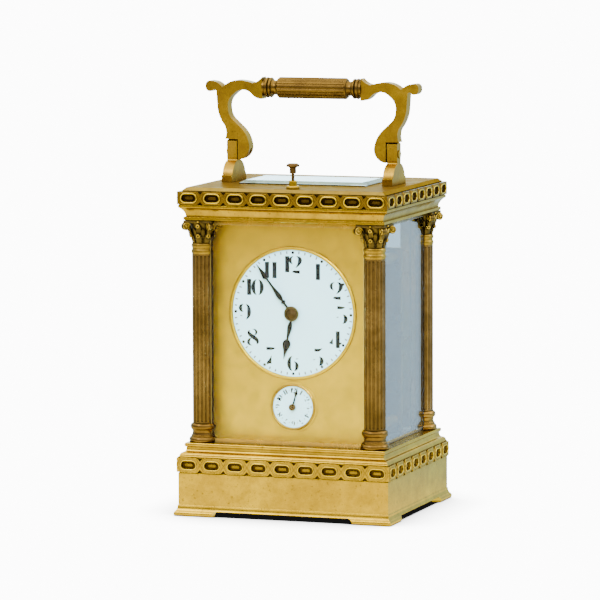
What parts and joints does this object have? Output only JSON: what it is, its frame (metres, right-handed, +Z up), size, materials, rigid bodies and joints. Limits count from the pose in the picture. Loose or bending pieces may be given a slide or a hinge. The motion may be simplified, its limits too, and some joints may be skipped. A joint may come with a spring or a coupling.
{
  "type": "carriage clock",
  "caption": "Gilt brass carriage clock with fluted corner columns, bevelled glasses, enamel dial with alarm subdial, repeat button and folding bail handle.",
  "frame": {"origin": "on the standing surface, under the middle of the case footprint", "axes": "+Z up, -Y towards the dial (front), +X to the right as seen from the front"},
  "size_m": [0.0976, 0.0866, 0.1858],
  "materials": {
    "gilt_case": "gilt brass with mottled patina",
    "bronze_columns": "darkened gilt brass with bright edges",
    "gilt_mask": "matte gilt with a fine grain",
    "enamel": "glossy white enamel with black figures",
    "blued_steel": "polished blued steel",
    "case_glass": "clear bevelled glass",
    "movement_brass": "lacquered brass",
    "polished_steel": "polished steel",
    "silvered_platform": "silvered"
  },
  "bodies": {
    "case": {"base_plinth": "gilt_case", "base_frieze": "gilt_case", "base_moulding": "gilt_case", "base_plate": "gilt_case", "bottom_cover": "movement_brass", "bottom_screws": "polished_steel", "column_rods": "polished_steel", "column_bases": "gilt_case", "column_capitals": "bronze_columns", "column_shaft_front_left": "bronze_columns", "column_shaft_front_right": "bronze_columns", "column_shaft_rear_left": "bronze_columns", "column_shaft_rear_right": "bronze_columns", "cornice_moulding": "gilt_case", "cornice_frieze": "gilt_case", "top_plate": "gilt_case", "top_glass": "case_glass", "front_glass": "case_glass", "left_glass": "case_glass", "right_glass": "case_glass", "rear_jambs": "gilt_case", "handle_bracket_left": "gilt_case", "handle_bracket_right": "gilt_case", "handle_pins": "gilt_case", "repeat_bush": "gilt_case", "dial_mask": "gilt_mask", "main_dial": "enamel", "alarm_dial": "enamel", "movement_front_plate": "movement_brass", "movement_back_plate": "movement_brass", "movement_pillars": "movement_brass", "platform": "silvered_platform", "balance_cock": "silvered_platform", "gong": "polished_steel", "gong_block": "movement_brass"},
    "handle": {"handle_arm_left": "gilt_case", "handle_arm_right": "gilt_case", "handle_grip": "gilt_case"},
    "rear_door": {"door_frame": "gilt_case", "door_glass": "case_glass", "door_knob": "gilt_case"},
    "repeat_push": {"repeat_button": "bronze_columns"},
    "centre": {"centre_arbor": "movement_brass", "minute_hand": "blued_steel"},
    "hour": {"hour_wheel": "movement_brass", "hour_hand": "blued_steel"},
    "minute_work": {"minute_wheel": "movement_brass"},
    "alarm": {"alarm_arbor": "polished_steel", "alarm_hand": "blued_steel"},
    "going_drum": {"going_barrel": "movement_brass"},
    "going_winder": {"going_arbor": "polished_steel"},
    "strike_drum": {"strike_barrel": "movement_brass"},
    "strike_winder": {"strike_arbor": "polished_steel"},
    "intermediate": {"intermediate_wheel": "movement_brass"},
    "third": {"third_wheel": "movement_brass"},
    "contrate": {"contrate_wheel": "movement_brass"},
    "escape": {"escape_wheel": "polished_steel"},
    "balance": {"balance_wheel": "movement_brass"},
    "strike_pins": {"strike_wheel": "movement_brass"},
    "strike_hammer": {"hammer": "polished_steel"}
  },
  "joints": [
    {"name": "handle_fold", "type": "hinge", "parent": "case", "child": "handle", "pos_m": [0, 0, 0.1536], "axis": [1, 0, 0], "range_deg": [-102, 82]},
    {"name": "door_swing", "type": "hinge", "parent": "case", "child": "rear_door", "pos_m": [-0.0298, 0.0342, 0.08], "axis": [0, 0, 1], "range_deg": [0, 90]},
    {"name": "repeat_press", "type": "slide", "parent": "case", "child": "repeat_push", "axis": [0, 0, -1], "range_m": [0, 0.0025], "stiffness_N_per_m": 300, "springref_m": -0.001},
    {"name": "minute_turn", "type": "hinge", "parent": "case", "child": "centre", "pos_m": [0, 0, 0.087], "axis": [0, 1, 0], "continuous": true},
    {"name": "hour_turn", "type": "hinge", "parent": "case", "child": "hour", "pos_m": [0, 0, 0.087], "axis": [0, 1, 0], "continuous": true},
    {"name": "minute_wheel_turn", "type": "hinge", "parent": "case", "child": "minute_work", "pos_m": [0.00735, 0, 0.08083], "axis": [0, 1, 0], "continuous": true},
    {"name": "going_barrel_turn", "type": "hinge", "parent": "case", "child": "going_drum", "pos_m": [-0.0164, 0, 0.061], "axis": [0, 1, 0], "continuous": true},
    {"name": "intermediate_turn", "type": "hinge", "parent": "case", "child": "intermediate", "pos_m": [-0.0088, 0, 0.07677], "axis": [0, 1, 0], "continuous": true},
    {"name": "third_turn", "type": "hinge", "parent": "case", "child": "third", "pos_m": [-0.01086, 0, 0.09378], "axis": [0, 1, 0], "continuous": true},
    {"name": "contrate_turn", "type": "hinge", "parent": "case", "child": "contrate", "pos_m": [-0.00157, 0, 0.10005], "axis": [0, 1, 0], "continuous": true},
    {"name": "escape_turn", "type": "hinge", "parent": "case", "child": "escape", "pos_m": [-0.00157, 0.0066, 0.115], "axis": [0, 0, 1], "continuous": true},
    {"name": "going_wind", "type": "hinge", "parent": "case", "child": "going_winder", "pos_m": [-0.0164, 0, 0.061], "axis": [0, 1, 0], "continuous": true},
    {"name": "strike_wind", "type": "hinge", "parent": "case", "child": "strike_winder", "pos_m": [0.0164, 0, 0.061], "axis": [0, 1, 0], "continuous": true},
    {"name": "strike_barrel_turn", "type": "hinge", "parent": "case", "child": "strike_drum", "pos_m": [0.0164, 0, 0.061], "axis": [0, 1, 0], "continuous": true},
    {"name": "strike_wheel_turn", "type": "hinge", "parent": "case", "child": "strike_pins", "pos_m": [0.01753, 0, 0.07846], "axis": [0, 1, 0], "continuous": true},
    {"name": "alarm_set", "type": "hinge", "parent": "case", "child": "alarm", "pos_m": [0, 0, 0.0469], "axis": [0, 1, 0], "continuous": true},
    {"name": "balance_swing", "type": "hinge", "parent": "case", "child": "balance", "pos_m": [0.01093, 0.0066, 0.119], "axis": [0, 0, 1], "range_deg": [-220, 220], "stiffness_Nm_per_rad": 0.00002},
    {"name": "hammer_swing", "type": "hinge", "parent": "case", "child": "strike_hammer", "pos_m": [0.0245, 0, 0.0425], "axis": [0, 1, 0], "range_deg": [-4, 2.4], "stiffness_Nm_per_rad": 0.02}
  ],
  "couplings": [
    {"joint": "intermediate_turn", "follows": "minute_turn", "ratio": -0.25},
    {"joint": "going_barrel_turn", "follows": "minute_turn", "ratio": 0.041667},
    {"joint": "third_turn", "follows": "minute_turn", "ratio": -7},
    {"joint": "contrate_turn", "follows": "minute_turn", "ratio": 42},
    {"joint": "escape_turn", "follows": "minute_turn", "ratio": 252},
    {"joint": "minute_wheel_turn", "follows": "minute_turn", "ratio": -0.33333},
    {"joint": "hour_turn", "follows": "minute_turn", "ratio": 0.083333},
    {"joint": "strike_wheel_turn", "follows": "strike_barrel_turn", "ratio": -6}
  ]
}
